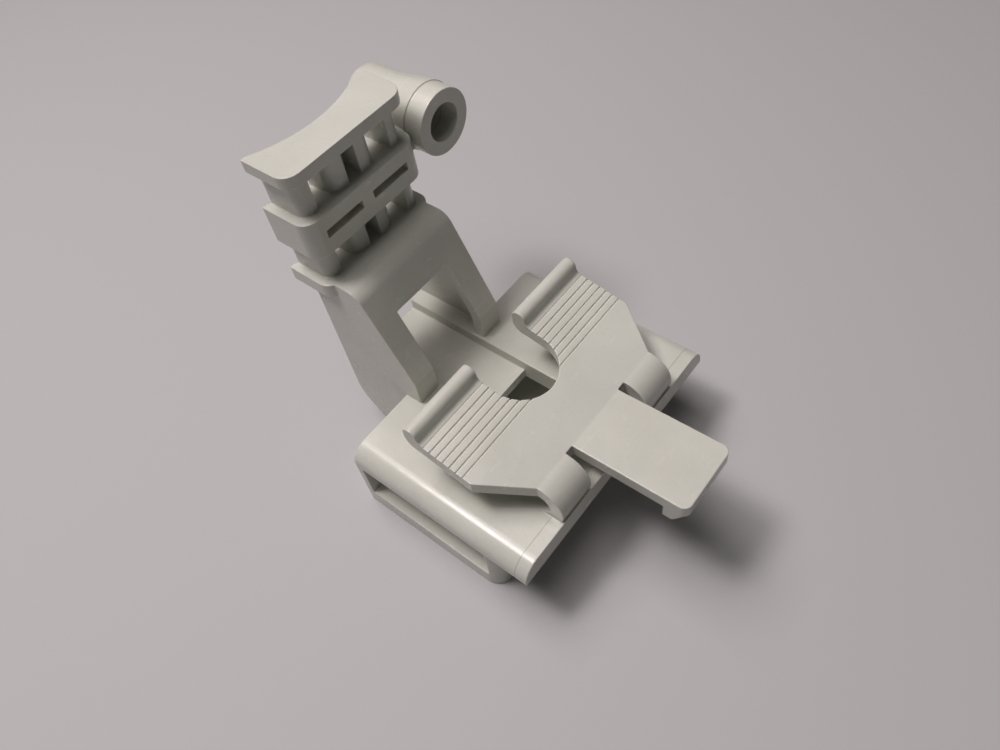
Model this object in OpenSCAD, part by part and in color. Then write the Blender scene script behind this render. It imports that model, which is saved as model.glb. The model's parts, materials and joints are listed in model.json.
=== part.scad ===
/* [Base] */
// Length of the base plate along X
base_l = 29.2; // [27:0.2:40]
// Width of the base plate along Y
base_w = 40.2; // [38:0.2:60]
// Height of the plate's top face over the table
plate_top = 12.6; // [11.5:0.1:16]
// Thickness of the base plate
plate_t = 3.3; // [3:0.1:4]
// Rounding of the plate's two long top edges
edge_r = 2.7; // [0.5:0.1:2.9]
// Width of the shallow channel along the middle of the plate
channel_w = 9.2; // [6:0.1:12]
// Depth of the channel
channel_d = 1.75; // [0.5:0.05:2.2]
// Distance from the plate's back edge to the floor opening
opening_back = 10.2; // [8:0.1:11]
// Length of the floor opening along X
opening_l = 10.4; // [5:0.1:11]

/* [Strap tunnel] */
// Clear length of the tunnel along X
tunnel_l = 21.0; // [12:0.1:22]
// Thickness of the plate under the tunnel
floor_t = 3.0; // [1.5:0.1:4]
// Thickness of the tunnel's front wall
front_wall_t = 1.8; // [1:0.1:3]
// Thickness of the tunnel's back wall
back_wall_t = 1.2; // [1:0.1:3]
// Rounding of the tunnel's two front corners, seen from above
corner_r = 2.4; // [0.5:0.1:4]

/* [Arm] */
// Width of the arm over its two side walls
arm_w = 17.4; // [16.6:0.1:18.4]
// Distance that the arm stands out behind the base plate
arm_out = 11.85; // [10.6:0.05:13]
// Thickness of the side walls and of the front legs
arm_t = 1.7; // [1.2:0.1:2]
// Thickness of the floor between the side walls
arm_floor_t = 1.55; // [1:0.05:1.55]
// Distance from the plate's back edge to the front of the arm's foot
foot_in = 2.8; // [2.4:0.1:4]
// Height of the upright foot of the front legs
foot_h = 4.0; // [2:0.1:6]
// Backward lean of the front legs in degrees
arm_lean = 23.5; // [18:0.5:24]
// Height of the shelf on top of the arm
shelf_z = 30.9; // [29.5:0.1:34]
// Thickness of the shelf
shelf_t = 2.1; // [1.8:0.1:3]
// Outer radius of the bend from the front legs to the shelf
shelf_r = 2.4; // [2.2:0.1:3]
// Width of the window between the front legs
window_w = 10.0; // [6:0.1:11]
// Height of the top of the window
window_z = 25.8; // [20:0.1:26.4]
// Radius of the bottom back corner of the side walls
heel_r = 6.6; // [2:0.1:9]

/* [Head] */
// Width of the head's flanges
head_w = 19.2; // [18.6:0.1:24]
// Depth of the flanges from front to tips
head_d = 7.6; // [7:0.1:9]
// Distance that the flange tips stand out behind the arm
tip_out = 2.45; // [1:0.05:3]
// Rounding of the two front corners of each flange, seen from above
head_r = 2.1; // [1.2:0.1:3]
// Radius of the hollow saddle at the back of the head
saddle_r = 17.5; // [14:0.1:30]
// Depth of the saddle behind the flange tips
saddle_d = 2.4; // [1:0.1:2.6]
// Height of the lower waist
lower_waist_h = 4.7; // [3:0.1:8]
// Height of the middle band
band_h = 5.4; // [4:0.1:8]
// Height of the upper waist
upper_waist_h = 5.3; // [5:0.1:9]
// Thickness of the top pad
pad_t = 1.7; // [1.2:0.1:4]
// Step back from the flanges to the waist, at the front and the sides
waist_in = 1.2; // [0.5:0.1:1.5]
// Thickness of the waist's outer webs
web_t = 2.1; // [1:0.1:2.5]
// Width of each of the two middle columns
column_w = 2.7; // [2:0.1:3.4]
// Rounding of the outer front corner of each column, seen from above
column_r = 1.6; // [0.5:0.1:1.9]
// Width of the slit between the two middle columns
column_gap = 2.0; // [0.4:0.1:2.6]
// Thickness of the wall that closes the slit toward the saddle
column_back_t = 1.2; // [0.8:0.1:1.8]
// Width of a tie slot in the middle band
slot_w = 6.1; // [3:0.1:6.8]
// Height of a tie slot
slot_h = 1.15; // [0.6:0.05:2]
// Width of the bar between the two tie slots
slot_bar = 1.9; // [1:0.1:3]

/* [Rod tube] */
// Diameter of the bore
bore_d = 5.0; // [3:0.1:6]
// Depth of the bore
bore_depth = 12.0; // [6:0.1:13]
// Outer diameter of the collar at the mouth
collar_d = 8.7; // [7.5:0.1:8.8]
// Length of the collar
collar_l = 2.8; // [1:0.1:5]
// Outer diameter of the tube behind the collar
tube_d = 9.0; // [8.4:0.1:9.6]
// Outer diameter of the tube's slim back end
tube_back_d = 7.7; // [7:0.1:8.2]
// Length of the taper behind the collar
taper_l = 5.6; // [3:0.1:7]
// Length of the tube behind the taper, with its rounded end
tube_back_l = 6.6; // [5.5:0.1:9]
// Rounding of the closed back end
tube_end_r = 2.4; // [1:0.1:3]
// Distance from the head's front face forward to the mouth of the tube
tube_front = 0.5; // [0:0.1:2]
// Height of the tube's axis over the middle band's underside
tube_up = 4.7; // [3.5:0.1:5]
// Height of the web that joins the tube to the band
tube_web_h = 3.6; // [2:0.1:3.9]
// Length of the web that joins the tube to the band
tube_web_l = 4.4; // [2:0.1:5]

/* [Spring jaw] */
// Wall thickness of the bends, the jaw plate and the finger tab
jaw_t = 2.0; // [1.5:0.1:2.4]
// Inner radius of the two U bends
bend_r = 1.6; // [1.2:0.1:2]
// Width of each U bend
bend_w = 5.8; // [3:0.1:6.4]
// Rise of the jaw plate toward the lips in degrees
jaw_rise = 11.3; // [8:0.1:12]
// Width of the jaw over its two fork arms
jaw_w = 33.2; // [30:0.2:36]
// Distance from the crease at the bends back to the lips' front face
lip_back = 14.4; // [13.8:0.1:15]
// Distance from the crease back to the jaw plate's widest point
corner_back = 6.3; // [5.6:0.1:6.4]
// Width of the notch between the fork arms
notch_w = 10.0; // [8:0.1:11]
// Distance from the crease back to the bottom of the notch
notch_back = 6.56; // [6.5:0.02:7.4]
// Thickness of the lips from front to back
lip_t = 2.2; // [1.6:0.1:2.4]
// Height of the lips over the jaw plate's top
lip_h = 1.95; // [1.2:0.05:2.6]
// Rounding of the lower back edge of the lips
lip_r = 1.8; // [0.5:0.1:1.8]
// Number of grip grooves on each fork arm
groove_n = 7; // [0:1:7]
// Spacing of the grip grooves
groove_pitch = 1.0; // [0.8:0.05:1]
// Width and depth of a grip groove
groove_s = 0.2; // [0.1:0.05:0.5]
// Distance from the crease to the first grip groove
groove_start = 7.5; // [7.2:0.1:7.8]

/* [Finger tab] */
// Width of the finger tab
tab_w = 10.0; // [8:0.1:11]
// Length of the tab in front of the crease
tab_l = 15.9; // [10:0.1:20]
// Upward slope of the tab in degrees
tab_rise = 1.7; // [0:0.1:4]
// Gap between the tab and each U bend
tab_gap = 1.3; // [0.8:0.1:2]
// Rounding of the tab's two front corners
tab_r = 1.1; // [0.4:0.1:2]
// Depth of the nib under the front of the tab
nib_h = 2.1; // [1:0.1:3]
// Length of the nib along X at its root
nib_l = 2.6; // [2:0.1:4]

/* [Hidden] */
$fn = 96;

plate_x0 = -base_l / 2;
plate_x1 = base_l / 2;
plate_bottom = plate_top - plate_t;
channel_z = plate_top - channel_d;
opening_x0 = plate_x0 + opening_back;
tunnel_x0 = plate_x0 + back_wall_t;
tunnel_x1 = tunnel_x0 + tunnel_l;
tunnel_front = tunnel_x1 + front_wall_t;

arm_x0 = plate_x0 - arm_out;
foot_x = plate_x0 + foot_in;
kink_z = plate_top + foot_h;
inner_kink_z = kink_z - arm_t * tan(arm_lean / 2);
shelf_bottom = shelf_z - shelf_t;
wall_y = arm_w / 2 - arm_t;

tip_x = arm_x0 - tip_out;
head_x = tip_x + head_d;
saddle_x = tip_x + saddle_d - saddle_r;
band_z = shelf_z + lower_waist_h;
waist2_z = band_z + band_h;
pad_z = waist2_z + upper_waist_h;
waist_y = head_w / 2 - waist_in;
waist_x = head_x - waist_in;
column_y = column_gap / 2 + column_w;

tube_y = (head_w + max(tube_d, collar_d)) / 2;
tube_z = band_z + tube_up;
tube_x = head_x + tube_front;
tube_l = taper_l + tube_back_l;

bend_x = plate_x1 - bend_r - jaw_t;
bend_z = plate_top + bend_r;
bend_y0 = tab_w / 2 + tab_gap;
bend_y1 = bend_y0 + bend_w;
jaw_z = bend_z + bend_r + jaw_t;
lip_x = bend_x - lip_back;
corner_x = bend_x - corner_back;
notch_x = bend_x - notch_back;
lip_seat = jaw_t * tan(jaw_rise);

// Front face of the arm's legs at height z over the table
function leg_x(z) = foot_x - (z - kink_z) * tan(arm_lean);

// Back face of the arm's legs at height z over the table
function leg_back_x(z) =
    foot_x - arm_t - (z - inner_kink_z) * tan(arm_lean);

// Top face of the jaw plate at distance x along the part
function jaw_top(x) = jaw_z + (bend_x - x) * tan(jaw_rise);

// Top face of the finger tab at distance x along the part
function tab_top(x) = jaw_z + (x - bend_x) * tan(tab_rise);

// Side outline drawn in X and Z, extruded from y0 to y1
module side(y0, y1) {
    translate([0, y1, 0])
        rotate([90, 0, 0])
            linear_extrude(y1 - y0)
                children();
}

// Block from corner a to corner b
module block(a, b) {
    translate(a)
        cube(b - a);
}

// Block whose two +X corners are rounded, seen from above
module nose_block(x0, x1, w, z0, z1, r) {
    translate([0, 0, z0])
        linear_extrude(z1 - z0) {
            translate([x0, -w / 2])
                square([x1 - r - x0, w]);
            translate([x0, r - w / 2])
                square([x1 - x0, w - 2 * r]);
            for (s = [-1, 1])
                translate([x1 - r, s * (w / 2 - r)])
                    circle(r);
        }
}

// ---- Base ----

module base_plate() {
    color("#c8c4b8")
    difference() {
        translate([plate_x0, 0, plate_bottom])
            rotate([90, 0, 90])
                linear_extrude(base_l) {
                    translate([-base_w / 2, 0])
                        square([base_w, plate_t - edge_r]);
                    translate([edge_r - base_w / 2, 0])
                        square([base_w - 2 * edge_r, plate_t]);
                    for (s = [-1, 1])
                        intersection() {
                            translate([s * (base_w / 2 - edge_r), plate_t - edge_r])
                                circle(edge_r);
                            translate([-base_w / 2, 0])
                                square([base_w, plate_t]);
                        }
                }
        block([plate_x0 - 1, -channel_w / 2, channel_z],
              [opening_x0 + opening_l, channel_w / 2, plate_top + 1]);
        block([opening_x0, -channel_w / 2, plate_bottom - 1],
              [opening_x0 + opening_l, channel_w / 2, plate_top + 1]);
    }
}

module tunnel_floor() {
    color("#c8c4b8")
    nose_block(plate_x0, tunnel_front, base_w, 0, floor_t, corner_r);
}

module tunnel_front_wall() {
    color("#c8c4b8")
    intersection() {
        nose_block(plate_x0, tunnel_front, base_w, floor_t, plate_bottom,
                   corner_r);
        block([tunnel_x1, -base_w, floor_t],
              [tunnel_front, base_w, plate_bottom]);
    }
}

module tunnel_back_wall() {
    color("#c8c4b8")
    block([plate_x0, -base_w / 2, floor_t],
          [tunnel_x0, base_w / 2, plate_bottom]);
}

// ---- Arm ----

module arm_floor() {
    color("#c0bdb2")
    difference() {
        block([arm_x0 + 0.5, -wall_y, channel_z - arm_floor_t],
              [plate_x0, wall_y, plate_top]);
        block([arm_x0, -channel_w / 2, channel_z],
              [plate_x0 + 1, channel_w / 2, plate_top + 1]);
    }
}

// One side wall of the arm, on the side s = -1 (left) or 1 (right)
module arm_wall(s) {
    side(s > 0 ? wall_y : -arm_w / 2, s > 0 ? arm_w / 2 : -wall_y)
        difference() {
            polygon([[arm_x0, 0],
                     [plate_x0, 0],
                     [plate_x0, plate_top],
                     [foot_x - arm_t, plate_top],
                     [foot_x - arm_t, inner_kink_z],
                     [leg_back_x(shelf_bottom), shelf_bottom],
                     [arm_x0, shelf_bottom]]);
            difference() {
                translate([arm_x0 - 1, -1])
                    square([heel_r + 1, heel_r + 1]);
                translate([arm_x0 + heel_r, heel_r])
                    circle(heel_r);
            }
        }
}

module arm_left_wall() {
    color("#b9b7ac")
    arm_wall(-1);
}

module arm_right_wall() {
    color("#b9b7ac")
    arm_wall(1);
}

// Outline of the front of the arm, from the base plate to the shelf
module leg_outline(z0, z1) {
    intersection() {
        polygon([[foot_x, plate_top],
                 [foot_x, kink_z],
                 [leg_x(shelf_z), shelf_z],
                 [leg_back_x(shelf_z), shelf_z],
                 [foot_x - arm_t, inner_kink_z],
                 [foot_x - arm_t, plate_top]]);
        translate([arm_x0, z0])
            square([foot_x + 1 - arm_x0, z1 - z0]);
    }
}

module arm_left_leg() {
    color("#b3b1a6")
    side(-arm_w / 2, -window_w / 2)
        leg_outline(plate_top, window_z);
}

module arm_right_leg() {
    color("#b3b1a6")
    side(window_w / 2, arm_w / 2)
        leg_outline(plate_top, window_z);
}

module arm_front_panel() {
    color("#b3b1a6")
    side(-arm_w / 2, arm_w / 2)
        leg_outline(window_z, shelf_bottom - shelf_r / 2);
}

module arm_shelf() {
    bend_tan = shelf_r * tan((90 - arm_lean) / 2);
    bend_cx = leg_x(shelf_z) - bend_tan;
    color("#b3b1a6")
    side(-arm_w / 2, arm_w / 2)
        difference() {
            union() {
                leg_outline(shelf_bottom - shelf_r / 2, shelf_z);
                polygon([[head_x, shelf_bottom],
                         [leg_x(shelf_bottom), shelf_bottom],
                         [leg_x(shelf_z), shelf_z],
                         [head_x, shelf_z]]);
            }
            translate([bend_cx, shelf_z - shelf_r])
                difference() {
                    rotate(arm_lean)
                        square(2 * shelf_r);
                    circle(shelf_r);
                    translate([-2 * shelf_r, 0])
                        square([2 * shelf_r, 3 * shelf_r]);
                }
        }
}

// ---- Head ----

// Slice of the head between two heights, stepped in by inset
module head_slice(z0, z1, inset) {
    difference() {
        nose_block(tip_x, head_x - inset, head_w - 2 * inset, z0, z1,
                   head_r - inset / 2);
        translate([saddle_x, 0, z0 - 1])
            cylinder(h = z1 - z0 + 2, r = saddle_r);
    }
}

// One outer web of a waist, on the side s
module waist_web(s, z0, z1) {
    intersection() {
        head_slice(z0, z1, waist_in);
        block([tip_x - 1, s > 0 ? waist_y - web_t : -waist_y, z0],
              [head_x, s > 0 ? waist_y : web_t - waist_y, z1]);
    }
}

// Column on the side s, sharp at the slit, rounded at its outer front corner
module column_outline(s) {
    difference() {
        translate([tip_x, s > 0 ? column_gap / 2 : -column_y])
            square([waist_x - tip_x, column_w]);
        translate([waist_x - column_r, s * (column_y - column_r)])
            difference() {
                rotate(s > 0 ? 0 : -90)
                    square(2 * column_r);
                circle(column_r);
            }
    }
}

// One column of a waist with its half of the wall behind the slit
module waist_column(s, z0, z1) {
    difference() {
        translate([0, 0, z0])
            linear_extrude(z1 - z0) {
                column_outline(s);
                translate([tip_x, s > 0 ? 0 : -(column_gap + column_w) / 2])
                    square([saddle_d + column_back_t,
                            (column_gap + column_w) / 2]);
            }
        translate([saddle_x, 0, z0 - 1])
            cylinder(h = z1 - z0 + 2, r = saddle_r);
    }
}

// Flange on top of the arm, as wide as the arm where it meets the shelf
module head_lower_flange() {
    color("#bdbbb0")
    union() {
        head_slice(shelf_bottom, shelf_z, 0);
        block([head_x - head_r, -arm_w / 2, shelf_bottom],
              [head_x, arm_w / 2, shelf_z]);
    }
}

module lower_waist_left_web() {
    color("#aeaca1")
    waist_web(-1, shelf_z, band_z);
}

module lower_waist_right_web() {
    color("#aeaca1")
    waist_web(1, shelf_z, band_z);
}

module lower_waist_left_column() {
    color("#aeaca1")
    waist_column(-1, shelf_z, band_z);
}

module lower_waist_right_column() {
    color("#aeaca1")
    waist_column(1, shelf_z, band_z);
}

module head_band() {
    color("#bdbbb0")
    difference() {
        head_slice(band_z, waist2_z, 0);
        for (s = [-1, 1])
            translate([tip_x - 1, s * (slot_bar + slot_w) / 2 - slot_w / 2,
                       band_z + (band_h - slot_h) / 2])
                cube([head_d + 2, slot_w, slot_h]);
    }
}

module upper_waist_left_web() {
    color("#aeaca1")
    waist_web(-1, waist2_z, pad_z);
}

module upper_waist_right_web() {
    color("#aeaca1")
    waist_web(1, waist2_z, pad_z);
}

module upper_waist_left_column() {
    color("#aeaca1")
    waist_column(-1, waist2_z, pad_z);
}

module upper_waist_right_column() {
    color("#aeaca1")
    waist_column(1, waist2_z, pad_z);
}

module head_pad() {
    color("#cfccc2")
    head_slice(pad_z, pad_z + pad_t, 0);
}

// ---- Rod tube ----

// Moves a shape drawn along +Z to the tube's axis, +Z pointing backward
module along_tube(x) {
    translate([x, tube_y, tube_z])
        rotate([0, -90, 0])
            children();
}

module rod_tube() {
    tube_start = tube_x - collar_l;
    web_x = min(tube_start, head_x - head_r);
    color("#c4c1b6")
    difference() {
        union() {
            along_tube(tube_start)
                rotate_extrude() {
                    polygon([[0, 0],
                             [tube_d / 2, 0],
                             [tube_back_d / 2, taper_l],
                             [tube_back_d / 2, tube_l - tube_end_r],
                             [0, tube_l - tube_end_r]]);
                    square([tube_back_d / 2 - tube_end_r, tube_l]);
                    translate([tube_back_d / 2 - tube_end_r,
                               tube_l - tube_end_r])
                        intersection() {
                            circle(tube_end_r);
                            square(tube_end_r);
                        }
                }
            block([web_x - tube_web_l, head_w / 2, waist2_z - tube_web_h],
                  [web_x, tube_y, waist2_z]);
        }
        along_tube(tube_x)
            cylinder(h = bore_depth, r = bore_d / 2);
    }
}

module rod_tube_collar() {
    color("#c4c1b6")
    along_tube(tube_x)
        difference() {
            cylinder(h = collar_l, r = collar_d / 2);
            translate([0, 0, -1])
                cylinder(h = collar_l + 2, r = bore_d / 2);
        }
}

// ---- Spring jaw ----

// One U bend between the base plate and the jaw plate, on the side s
module spring_bend(s) {
    side(s > 0 ? bend_y0 : -bend_y1, s > 0 ? bend_y1 : -bend_y0)
        intersection() {
            translate([bend_x, bend_z])
                difference() {
                    circle(bend_r + jaw_t);
                    circle(bend_r);
                }
            translate([bend_x, plate_top])
                square([bend_r + jaw_t + 1, jaw_z + 1 - plate_top]);
        }
}

module left_spring_bend() {
    color("#c8c4b8")
    spring_bend(-1);
}

module right_spring_bend() {
    color("#c8c4b8")
    spring_bend(1);
}

// Side outline of the sloping jaw plate between two places along X
module jaw_outline(x0, x1) {
    polygon([[x0, jaw_top(x0) - jaw_t],
             [x1, jaw_top(x1) - jaw_t],
             [x1, jaw_top(x1)],
             [x0, jaw_top(x0)]]);
}

// Side outline of a fork arm, whose back end is square to its slope
module arm_outline() {
    polygon([[lip_x - lip_seat, jaw_top(lip_x) - jaw_t],
             [lip_x, jaw_top(lip_x) - jaw_t],
             [notch_x, jaw_top(notch_x) - jaw_t],
             [notch_x, jaw_top(notch_x)],
             [lip_x, jaw_top(lip_x)]]);
}

// Grip grooves that run across the fork arms
module grip_grooves() {
    for (i = [0 : 1 : groove_n - 1]) {
        x = bend_x - groove_start - i * groove_pitch;
        translate([x, -jaw_w, jaw_top(x)])
            rotate([0, jaw_rise, 0])
                translate([-groove_s / 2, 0, -groove_s])
                    cube([groove_s, 2 * jaw_w, 2 * groove_s]);
    }
}

module jaw_plate() {
    color("#d2cfc6")
    intersection() {
        side(-jaw_w, jaw_w)
            jaw_outline(notch_x, bend_x);
        linear_extrude(jaw_z * 2)
            polygon([[notch_x, -jaw_w / 2],
                     [corner_x, -jaw_w / 2],
                     [bend_x, -bend_y1],
                     [bend_x, bend_y1],
                     [corner_x, jaw_w / 2],
                     [notch_x, jaw_w / 2]]);
    }
}

// One arm of the fork, on the side s
module fork_arm(s) {
    difference() {
        side(s > 0 ? 0 : -jaw_w / 2, s > 0 ? jaw_w / 2 : 0)
            arm_outline();
        translate([notch_x - notch_w / 2, 0, 0])
            cylinder(h = jaw_z * 2, r = notch_w / 2);
        block([lip_x - lip_t, -notch_w / 2, 0],
              [notch_x - notch_w / 2, notch_w / 2, jaw_z * 2]);
        grip_grooves();
    }
}

module left_fork_arm() {
    color("#d2cfc6")
    fork_arm(-1);
}

module right_fork_arm() {
    color("#d2cfc6")
    fork_arm(1);
}

// One rolled lip at the back of a fork arm, on the side s
module lip(s) {
    top_z = jaw_top(lip_x) + lip_h;
    low_z = jaw_top(lip_x) - jaw_t;
    back_r = min(lip_r, lip_t - lip_seat);
    side(s > 0 ? notch_w / 2 : -jaw_w / 2, s > 0 ? jaw_w / 2 : -notch_w / 2)
        difference() {
            union() {
                translate([lip_x - lip_t / 2, top_z - lip_t / 2])
                    circle(lip_t / 2);
                translate([lip_x - lip_t, low_z])
                    square([lip_t, top_z - low_z - lip_t / 2]);
            }
            translate([lip_x - lip_t + back_r, low_z + back_r])
                difference() {
                    rotate(180)
                        square(2 * back_r);
                    circle(back_r);
                }
            polygon([[lip_x, jaw_top(lip_x)],
                     [lip_x - 2 * lip_seat, jaw_top(lip_x) - 2 * jaw_t],
                     [lip_x + lip_t, jaw_top(lip_x) - 2 * jaw_t],
                     [lip_x + lip_t, jaw_top(lip_x)]]);
        }
}

module left_lip() {
    color("#d8d5cc")
    lip(-1);
}

module right_lip() {
    color("#d8d5cc")
    lip(1);
}

// ---- Finger tab ----

module finger_tab() {
    tab_x = bend_x + tab_l;
    color("#dad7cf")
    intersection() {
        side(-tab_w, tab_w)
            polygon([[bend_x, jaw_z - jaw_t],
                     [tab_x, tab_top(tab_x) - jaw_t],
                     [tab_x, tab_top(tab_x)],
                     [bend_x, jaw_z]]);
        nose_block(bend_x, tab_x, tab_w, 0, jaw_z * 2, tab_r);
    }
}

module finger_tab_nib() {
    nib_x = bend_x + tab_l - tab_r / 2;
    root_z = tab_top(nib_x) - jaw_t;
    color("#d2cfc6")
    intersection() {
        side(-tab_w, tab_w)
            polygon([[nib_x - nib_l, tab_top(nib_x - nib_l) - jaw_t],
                     [nib_x - nib_l, root_z - nib_h],
                     [nib_x - nib_l / 2, root_z - nib_h],
                     [nib_x, root_z]]);
        nose_block(bend_x, bend_x + tab_l, tab_w, 0, jaw_z * 2, tab_r);
    }
}

base_plate();
tunnel_floor();
tunnel_front_wall();
tunnel_back_wall();
arm_floor();
arm_left_wall();
arm_right_wall();
arm_left_leg();
arm_right_leg();
arm_front_panel();
arm_shelf();
head_lower_flange();
lower_waist_left_web();
lower_waist_right_web();
lower_waist_left_column();
lower_waist_right_column();
head_band();
upper_waist_left_web();
upper_waist_right_web();
upper_waist_left_column();
upper_waist_right_column();
head_pad();
rod_tube();
rod_tube_collar();
left_spring_bend();
right_spring_bend();
jaw_plate();
left_fork_arm();
right_fork_arm();
left_lip();
right_lip();
finger_tab();
finger_tab_nib();
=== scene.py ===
import json
import math

import bmesh
import bpy
import numpy as np
from mathutils import Matrix, Vector

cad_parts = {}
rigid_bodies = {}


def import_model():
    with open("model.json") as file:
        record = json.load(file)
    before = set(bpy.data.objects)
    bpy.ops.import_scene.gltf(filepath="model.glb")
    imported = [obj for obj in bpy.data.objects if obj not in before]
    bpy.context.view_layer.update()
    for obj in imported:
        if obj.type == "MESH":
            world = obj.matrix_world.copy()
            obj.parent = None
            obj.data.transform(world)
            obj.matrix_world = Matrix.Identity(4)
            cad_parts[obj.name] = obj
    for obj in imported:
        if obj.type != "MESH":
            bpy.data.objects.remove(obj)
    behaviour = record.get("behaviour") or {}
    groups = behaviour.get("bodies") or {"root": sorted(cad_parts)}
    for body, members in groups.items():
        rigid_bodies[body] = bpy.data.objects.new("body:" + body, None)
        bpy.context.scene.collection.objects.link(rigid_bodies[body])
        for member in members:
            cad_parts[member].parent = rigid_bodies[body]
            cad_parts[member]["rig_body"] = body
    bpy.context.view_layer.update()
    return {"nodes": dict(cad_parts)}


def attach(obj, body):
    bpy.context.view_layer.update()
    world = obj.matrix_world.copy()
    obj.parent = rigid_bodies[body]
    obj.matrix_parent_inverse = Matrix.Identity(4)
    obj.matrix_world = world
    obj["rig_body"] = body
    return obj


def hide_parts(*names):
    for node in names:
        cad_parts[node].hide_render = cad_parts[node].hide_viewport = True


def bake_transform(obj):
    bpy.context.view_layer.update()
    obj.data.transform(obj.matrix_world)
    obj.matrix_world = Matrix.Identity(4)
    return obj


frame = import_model()

# ---------------------------------------------------------------- sizes in mm
MM = 0.001
VOXEL = 0.075  # cell size of the skin
PASSES = 2  # rounds of smoothing that soften the edges a little
MAX_FACES = 185000  # faces left in each large piece

BEND_X = 11.0  # where the U bends run into the jaw plate
BEND_Z = 14.2  # height of the bends' axis
BEND_R = 1.6  # inner radius of the bends
WALL = 2.0
PLATE_TOP = 12.6  # top of the base plate
BEND_ROOT = PLATE_TOP + 0.02
BEND_Y = (5.65, 12.6)  # the bends lie between these distances from the middle
JAW_BACK = -9.0  # in front of this and above JAW_LOW is the jaw, but for the bends
JAW_LOW = 13.5

JAW_RISE = math.radians(11.3)
JAW_TOP = BEND_Z + BEND_R + WALL  # top of the jaw plate at BEND_X
JAW_HALF = 16.6
NOTCH_HALF = 5.0
LIP_X = -3.4  # front face of the lips
LIP_FOOT_R = 1.0  # hollow fillet where a lip rises out of its arm
LIP_FOOT_STEPS = 12
LIP_FOOT_SUNK = 0.2  # depth of the fillet's back in the lip and the arm

WITNESS_X = 12.8  # faint mould line across the base plate
SEAM_X = -23.6  # back edge of the tube's collar
HEAD_HALF = 9.6
WITNESS_W = 0.12

# ---------------------------------------------------------------- colours
PLASTIC_DARK = (0.588, 0.592, 0.530)
PLASTIC_LIGHT = (0.636, 0.641, 0.576)
SPECK = (0.470, 0.450, 0.395)
GRIME = (0.420, 0.400, 0.345)
# painted shade: the colour that darkens the mould lines, standing in for the shade of
# their tiny step or groove
WITNESS_SHADE = (0.330, 0.315, 0.275)
WITNESS_SHADE_SHARE = 0.55
FLOOR_COLOUR = (0.48, 0.475, 0.48)
BACKDROP = (0.80, 0.80, 0.80)
LAMP_COLOUR = (1.0, 0.930, 0.930)

# ---------------------------------------------------------------- stage in metres
FLOOR_HALF = 3.0
FLOOR_Z = -0.00003  # just under the feet
FLOOR_ROUGHNESS = 0.75
FADE = (0.22, 0.60)  # the far floor runs into the backdrop between these distances
AMBIENT = 0.03
LAMP_TARGET = (0.0, 0.0, 0.02)
LAMPS = (  # name, place, size, watts
    ("overhead", (-0.06, -0.06, 0.50), 0.30, 0.90),
    ("key", (-0.16, -0.12, 0.46), 0.11, 0.98),
    ("back", (-0.22, 0.02, 0.46), 0.20, 0.62),
)

CAMERA_AT = (0.04394, -0.04420, 0.10313)
CAMERA_RIGHT = (0.77860, 0.61601, -0.11966)
CAMERA_UP = (-0.44650, 0.67782, 0.58412)
CAMERA_BACK = (0.44093, -0.40137, 0.80280)
SENSOR_MM = 36.0
LENS_MM = 29.36
CLIP = (0.002, 20.0)


# ---------------------------------------------------------------- helpers
def jaw_top(x):
    """Height of the jaw plate's top at x."""
    return JAW_TOP + (BEND_X - x) * math.tan(JAW_RISE)


def prism(bm, outline, y0, y1):
    """A closed prism along Y over an outline of (x, z) points."""
    low = [bm.verts.new((x, y0, z)) for x, z in outline]
    high = [bm.verts.new((x, y1, z)) for x, z in outline]
    n = len(outline)
    for i in range(n):
        j = (i + 1) % n
        bm.faces.new((low[i], low[j], high[j], high[i]))
    bm.faces.new(list(reversed(low)))
    bm.faces.new(high)


def lip_foot_outline():
    """The hollow fillet between a lip's front face and its arm's top."""
    top = jaw_top(LIP_X)
    half = (math.pi / 2 + JAW_RISE) / 2
    mid_x = LIP_X + LIP_FOOT_R
    mid_z = top + LIP_FOOT_R / math.tan(half)
    start = math.pi
    end = 1.5 * math.pi - JAW_RISE
    points = []
    for i in range(LIP_FOOT_STEPS + 1):
        a = start + (end - start) * i / LIP_FOOT_STEPS
        x = mid_x + LIP_FOOT_R * math.cos(a)
        z = mid_z + LIP_FOOT_R * math.sin(a)
        points.append((x, z))
    last_x, last_z = points[-1]
    points.append((last_x, last_z - LIP_FOOT_SUNK))
    points.append((LIP_X - LIP_FOOT_SUNK, top - LIP_FOOT_SUNK))
    points.append((LIP_X - LIP_FOOT_SUNK, points[0][1]))
    return points


def link(ob):
    """Puts an object into the scene."""
    bpy.context.scene.collection.objects.link(ob)


def with_modifiers(ob):
    """A new mesh of an object with its modifiers applied."""
    graph = bpy.context.evaluated_depsgraph_get()
    return bpy.data.meshes.new_from_object(ob.evaluated_get(graph), depsgraph=graph)


def mesh_arrays(me):
    """Vertices, edges and face corners of a mesh of quads, as arrays."""
    co = np.zeros(len(me.vertices) * 3, np.float32)
    me.vertices.foreach_get("co", co)
    edges = np.zeros(len(me.edges) * 2, np.int32)
    me.edges.foreach_get("vertices", edges)
    quads = np.zeros(len(me.loops), np.int32)
    me.loops.foreach_get("vertex_index", quads)
    return co.reshape(-1, 3).astype(float), edges.reshape(-1, 2), quads.reshape(-1, 4)


def relax(co, edges, passes):
    """Moves each vertex halfway to the mean of its neighbours, passes times."""
    n = len(co)
    a = np.concatenate([edges[:, 0], edges[:, 1]])
    b = np.concatenate([edges[:, 1], edges[:, 0]])
    count = np.bincount(a, minlength=n)[:, None]
    for _ in range(passes):
        total = [np.bincount(a, co[b, k], minlength=n) for k in range(3)]
        co = (co + np.stack(total, axis=1) / count) / 2
    return co


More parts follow.
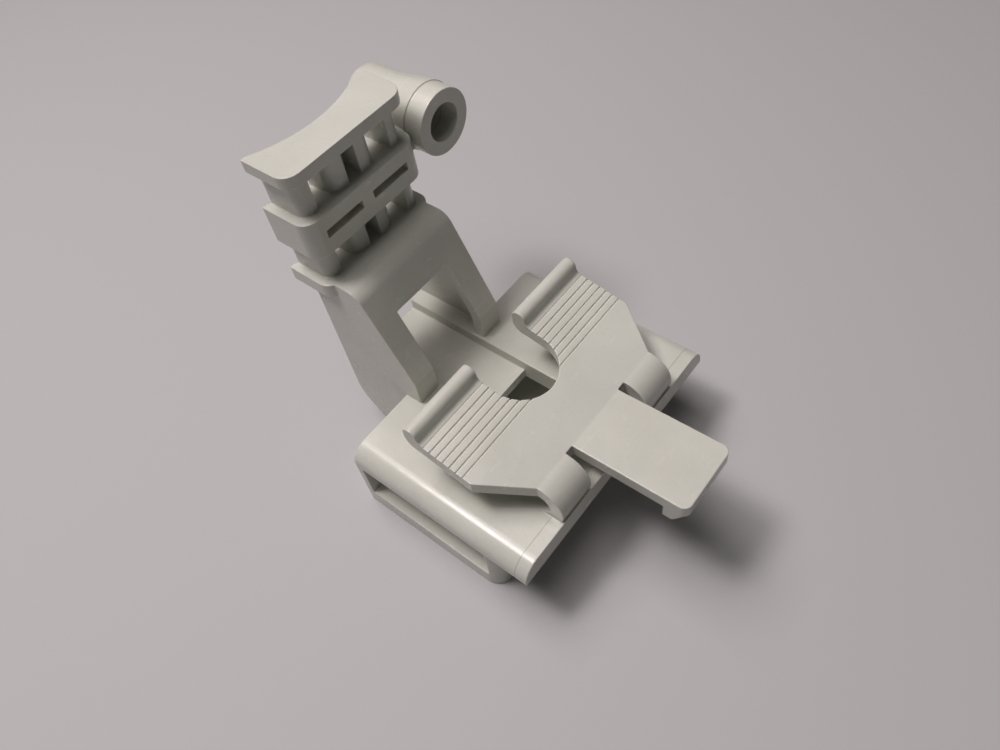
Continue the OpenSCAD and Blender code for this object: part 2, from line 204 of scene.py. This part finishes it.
def part_of_mesh(co, quads, chosen, name):
    """The chosen faces as an open mesh in mm, and the vertices of its rims."""
    used, corners = np.unique(quads[chosen], return_inverse=True)
    corners = corners.reshape(-1, 4)
    me = bpy.data.meshes.new(name)
    me.vertices.add(len(used))
    me.vertices.foreach_set("co", co[used].astype(np.float32).ravel())
    me.loops.add(corners.size)
    me.loops.foreach_set("vertex_index", corners.astype(np.int32).ravel())
    me.polygons.add(len(corners))
    starts = np.arange(0, corners.size, 4, dtype=np.int32)
    me.polygons.foreach_set("loop_start", starts)
    me.update(calc_edges=True)
    sides = np.stack([corners, np.roll(corners, -1, axis=1)], axis=-1)
    sides = np.sort(sides.reshape(-1, 2).astype(np.int64), axis=1)
    keys, uses = np.unique(sides[:, 0] * len(used) + sides[:, 1], return_counts=True)
    rim = keys[uses == 1]
    held = np.unique(np.concatenate([rim // len(used), rim % len(used)]))
    return me, held.tolist()


def close_rims(me):
    """Caps the open rims, keeps their edges sharp and the rest smooth."""
    bm = bmesh.new()
    bm.from_mesh(me)
    for f in bm.faces:
        f.smooth = True
    rim = [e for e in bm.edges if e.is_boundary]
    caps = bmesh.ops.holes_fill(bm, edges=rim, sides=0)["faces"]
    for e in rim:
        e.smooth = False
    bmesh.ops.triangulate(bm, faces=caps)
    bm.to_mesh(me)
    bm.free()


def piece(name, me, held, faces=None):
    """A closed piece from an open mesh in mm, thinned to a number of faces.

    The vertices in held stay where they are, so that the rims still meet.
    """
    ob = bpy.data.objects.new(name, me)
    link(ob)
    if faces is not None:
        ob.vertex_groups.new(name="held").add(held, 1.0, "ADD")
        thin = ob.modifiers.new("thin", "DECIMATE")
        thin.ratio = faces / (2.0 * len(me.polygons))
        thin.vertex_group = "held"
        thin.invert_vertex_group = True
        ob.data = with_modifiers(ob)
        ob.modifiers.clear()
        ob.vertex_groups.clear()
    close_rims(ob.data)
    ob.data.name = name
    ob.data.transform(Matrix.Scale(MM, 4))
    return ob


# ---------------------------------------------------------------- the moulding
def moulding():
    """The whole clamp as one skin with softened edges, in mm."""
    bm = bmesh.new()
    for name in sorted(frame["nodes"]):
        bm.from_mesh(frame["nodes"][name].data)
    bmesh.ops.scale(bm, vec=(1 / MM,) * 3, verts=bm.verts)
    for y0, y1 in ((-JAW_HALF, -NOTCH_HALF), (NOTCH_HALF, JAW_HALF)):
        prism(bm, lip_foot_outline(), y0, y1)
    bmesh.ops.recalc_face_normals(bm, faces=bm.faces)
    me = bpy.data.meshes.new("moulding")
    bm.to_mesh(me)
    bm.free()
    ob = bpy.data.objects.new("moulding", me)
    link(ob)
    skin = ob.modifiers.new("skin", "REMESH")
    skin.mode = "VOXEL"
    skin.voxel_size = VOXEL
    out = with_modifiers(ob)
    bpy.data.objects.remove(ob)
    co, edges, quads = mesh_arrays(out)
    return relax(co, edges, PASSES), quads


co, quads = moulding()
cx, cy, cz = co[quads].mean(axis=1).T
beside = (np.abs(cy) > BEND_Y[0]) & (np.abs(cy) < BEND_Y[1])
is_bend = (cx > BEND_X) & beside & (cz > BEND_ROOT)
is_jaw = (cx > JAW_BACK) & (cz > JAW_LOW) & ~is_bend
is_frame = ~is_bend & ~is_jaw

BEND_NODES = ["left_spring_bend", "right_spring_bend"]
FRAME_NODES = [
    n for n in sorted(frame["nodes"])
    if frame["nodes"][n]["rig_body"] == "frame" and n not in BEND_NODES
]
JAW_NODES = [
    n for n in sorted(frame["nodes"]) if frame["nodes"][n]["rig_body"] == "jaw"
]

frame_piece = piece(
    "base_arm_and_head", *part_of_mesh(co, quads, is_frame, "frame"), MAX_FACES
)
jaw_piece = piece(
    "jaw_and_finger_tab", *part_of_mesh(co, quads, is_jaw, "jaw"), MAX_FACES
)
left_bend = piece(
    "left_spring", *part_of_mesh(co, quads, is_bend & (cy < 0), "left_bend")
)
right_bend = piece(
    "right_spring", *part_of_mesh(co, quads, is_bend & (cy > 0), "right_bend")
)


# ---------------------------------------------------------------- material
def grey_plastic():
    """Light warm-grey moulded plastic with a fine grain, faint handling wear and painted
    shade along its mould lines.
    """
    mat = bpy.data.materials.new("grey_plastic")
    mat.use_nodes = True
    nodes, links = mat.node_tree.nodes, mat.node_tree.links
    nodes.clear()
    out = nodes.new("ShaderNodeOutputMaterial")
    skin = nodes.new("ShaderNodeBsdfPrincipled")
    links.new(skin.outputs["BSDF"], out.inputs["Surface"])
    coords = nodes.new("ShaderNodeTexCoord")
    where = coords.outputs["Object"]
    place = nodes.new("ShaderNodeSeparateXYZ")
    links.new(where, place.inputs[0])

    def noise(scale, detail, rough=0.5, warp=0.0, at=where):
        """Noise from 0 to 1, scale in cells per metre."""
        n = nodes.new("ShaderNodeTexNoise")
        n.inputs["Scale"].default_value = scale
        n.inputs["Detail"].default_value = detail
        n.inputs["Roughness"].default_value = rough
        n.inputs["Distortion"].default_value = warp
        links.new(at, n.inputs["Vector"])
        return n.outputs["Fac"]

    def ranged(value, low, high, out_low, out_high):
        """The value's span low..high brought to out_low..out_high."""
        m = nodes.new("ShaderNodeMapRange")
        m.inputs["From Min"].default_value = low
        m.inputs["From Max"].default_value = high
        m.inputs["To Min"].default_value = out_low
        m.inputs["To Max"].default_value = out_high
        links.new(value, m.inputs["Value"])
        return m.outputs["Result"]

    def mix(fac, a, b):
        """Colour a at 0 and b at 1, each a colour or a socket."""
        m = nodes.new("ShaderNodeMix")
        m.data_type = "RGBA"
        links.new(fac, m.inputs[0])
        for socket, colour in ((m.inputs[6], a), (m.inputs[7], b)):
            if isinstance(colour, tuple):
                socket.default_value = (*colour, 1.0)
            else:
                links.new(colour, socket)
        return m.outputs[2]

    def math_node(kind, a, b):
        """One step of arithmetic on two values, each a number or a socket."""
        m = nodes.new("ShaderNodeMath")
        m.operation = kind
        for socket, value in ((m.inputs[0], a), (m.inputs[1], b)):
            if isinstance(value, float):
                socket.default_value = value
            else:
                links.new(value, socket)
        return m.outputs[0]

    def hairline(x):
        """1 within the width of a mould line at x, else 0."""
        off = math_node("SUBTRACT", place.outputs["X"], x * MM)
        return math_node("LESS_THAN", math_node("ABSOLUTE", off, 0.0), WITNESS_W / 2 * MM)

    def bump(height, strength, distance, under=None):
        """A bump on top of the bump under it, distance in metres."""
        b = nodes.new("ShaderNodeBump")
        b.inputs["Strength"].default_value = strength
        b.inputs["Distance"].default_value = distance
        links.new(height, b.inputs["Height"])
        if under is not None:
            links.new(under, b.inputs["Normal"])
        return b.outputs["Normal"]

    on_base = math_node("LESS_THAN", place.outputs["Z"], BEND_ROOT * MM)
    on_tube = math_node("GREATER_THAN", place.outputs["Y"], HEAD_HALF * MM)
    # Mould lines on the base and the tube: the mask drives a small bump for their relief
    # and painted shade that darkens them where their tiny step falls in shade
    mould_line_and_shade = math_node("MULTIPLY", hairline(WITNESS_X), on_base)
    seam_and_shade = math_node("MULTIPLY", hairline(SEAM_X), on_tube)
    witness_relief_and_shade = math_node("MAXIMUM", mould_line_and_shade, seam_and_shade)

    clouds = ranged(noise(90, 3, 0.55, 0.6), 0.35, 0.65, 0.0, 1.0)
    body = mix(clouds, PLASTIC_DARK, PLASTIC_LIGHT)
    specks = ranged(noise(2600, 2, 0.6), 0.60, 0.74, 0.0, 0.30)
    body = mix(specks, body, SPECK)
    grime = ranged(noise(260, 5, 0.65, 1.2), 0.58, 0.80, 0.0, 0.16)
    body = mix(grime, body, GRIME)
    # painted shade darkens the mould lines
    body = mix(math_node("MULTIPLY", witness_relief_and_shade, WITNESS_SHADE_SHARE), body, WITNESS_SHADE)
    links.new(body, skin.inputs["Base Color"])

    drawn = nodes.new("ShaderNodeVectorMath")
    drawn.operation = "MULTIPLY"
    drawn.inputs[1].default_value = (1.0, 0.05, 0.4)
    links.new(where, drawn.inputs[0])
    scuffs = ranged(noise(2400, 3, at=drawn.outputs[0]), 0.60, 0.76, 0.0, 0.05)
    matt = ranged(noise(420, 4, 0.6), 0.3, 0.7, 0.20, 0.28)
    links.new(math_node("ADD", matt, scuffs), skin.inputs["Roughness"])
    skin.inputs["IOR"].default_value = 1.5
    skin.inputs["Specular IOR Level"].default_value = 0.5
    skin.inputs["Subsurface Weight"].default_value = 0.06
    skin.inputs["Subsurface Radius"].default_value = (1.0, 0.95, 0.85)
    skin.inputs["Subsurface Scale"].default_value = 0.0006

    flow = bump(noise(300, 2, 0.5, 0.4), 0.16, 0.00012)
    grain = bump(noise(5200, 3, 0.6), 0.10, 0.00003, flow)
    line = bump(witness_relief_and_shade, 0.6, 0.00003, grain)
    links.new(line, skin.inputs["Normal"])
    return mat


plastic = grey_plastic()
for ob in (frame_piece, jaw_piece, left_bend, right_bend):
    ob.data.materials.clear()
    ob.data.materials.append(plastic)

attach(frame_piece, "frame")
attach(jaw_piece, "jaw")
for ob in (left_bend, right_bend):
    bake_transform(ob)
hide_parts(*FRAME_NODES)
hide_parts(*JAW_NODES)
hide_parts("left_spring_bend")
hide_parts("right_spring_bend")


# ---------------------------------------------------------------- stage
def floor():
    """A plain matt floor; far off, the camera sees the backdrop's colour on it."""
    me = bpy.data.meshes.new("floor")
    half = FLOOR_HALF
    me.from_pydata(
        [(-half, -half, 0), (half, -half, 0), (half, half, 0), (-half, half, 0)],
        [],
        [(0, 1, 2, 3)],
    )
    ob = bpy.data.objects.new("floor", me)
    ob.location.z = FLOOR_Z
    link(ob)
    mat = bpy.data.materials.new("floor")
    mat.use_nodes = True
    nodes, links = mat.node_tree.nodes, mat.node_tree.links
    skin = nodes["Principled BSDF"]
    skin.inputs["Base Color"].default_value = (*FLOOR_COLOUR, 1.0)
    skin.inputs["Roughness"].default_value = FLOOR_ROUGHNESS
    far = nodes.new("ShaderNodeEmission")
    far.inputs["Color"].default_value = (*BACKDROP, 1.0)
    where = nodes.new("ShaderNodeTexCoord")
    away = nodes.new("ShaderNodeVectorMath")
    away.operation = "LENGTH"
    links.new(where.outputs["Object"], away.inputs[0])
    fade = nodes.new("ShaderNodeMapRange")
    fade.inputs["From Min"].default_value = FADE[0]
    fade.inputs["From Max"].default_value = FADE[1]
    links.new(away.outputs["Value"], fade.inputs["Value"])
    rays = nodes.new("ShaderNodeLightPath")
    seen = nodes.new("ShaderNodeMath")
    seen.operation = "MULTIPLY"
    links.new(fade.outputs["Result"], seen.inputs[0])
    links.new(rays.outputs["Is Camera Ray"], seen.inputs[1])
    pick = nodes.new("ShaderNodeMixShader")
    links.new(seen.outputs[0], pick.inputs["Fac"])
    links.new(skin.outputs["BSDF"], pick.inputs[1])
    links.new(far.outputs["Emission"], pick.inputs[2])
    links.new(pick.outputs["Shader"], nodes["Material Output"].inputs["Surface"])
    me.materials.append(mat)


def lamp(name, location, size, watts):
    """A square soft lamp aimed at the clamp."""
    data = bpy.data.lights.new(name, "AREA")
    data.shape = "SQUARE"
    data.size = size
    data.energy = watts
    data.color = LAMP_COLOUR
    ob = bpy.data.objects.new(name, data)
    ob.location = location
    aim = Vector(LAMP_TARGET) - Vector(location)
    ob.rotation_euler = aim.to_track_quat("-Z", "Y").to_euler()
    link(ob)


def world(ambient):
    """Even fill light; the camera sees the pale backdrop colour instead."""
    w = bpy.data.worlds.new("studio")
    bpy.context.scene.world = w
    w.use_nodes = True
    nodes, links = w.node_tree.nodes, w.node_tree.links
    nodes.clear()
    out = nodes.new("ShaderNodeOutputWorld")
    fill = nodes.new("ShaderNodeBackground")
    fill.inputs["Color"].default_value = (1.0, 1.0, 1.0, 1.0)
    fill.inputs["Strength"].default_value = ambient
    seen = nodes.new("ShaderNodeBackground")
    seen.inputs["Color"].default_value = (*BACKDROP, 1.0)
    seen.inputs["Strength"].default_value = 1.0
    rays = nodes.new("ShaderNodeLightPath")
    pick = nodes.new("ShaderNodeMixShader")
    links.new(rays.outputs["Is Camera Ray"], pick.inputs["Fac"])
    links.new(fill.outputs["Background"], pick.inputs[1])
    links.new(seen.outputs["Background"], pick.inputs[2])
    links.new(pick.outputs["Shader"], out.inputs["Surface"])


floor()
world(AMBIENT)
for lamp_row in LAMPS:
    lamp(*lamp_row)

# ---------------------------------------------------------------- camera
view = bpy.data.cameras.new("camera")
view.sensor_width = SENSOR_MM
view.lens = LENS_MM
view.clip_start, view.clip_end = CLIP
camera = bpy.data.objects.new("camera", view)
turn = Matrix((CAMERA_RIGHT, CAMERA_UP, CAMERA_BACK)).transposed().to_4x4()
camera.matrix_world = Matrix.Translation(CAMERA_AT) @ turn
link(camera)
bpy.context.scene.camera = camera
bpy.context.scene.view_settings.view_transform = "Standard"
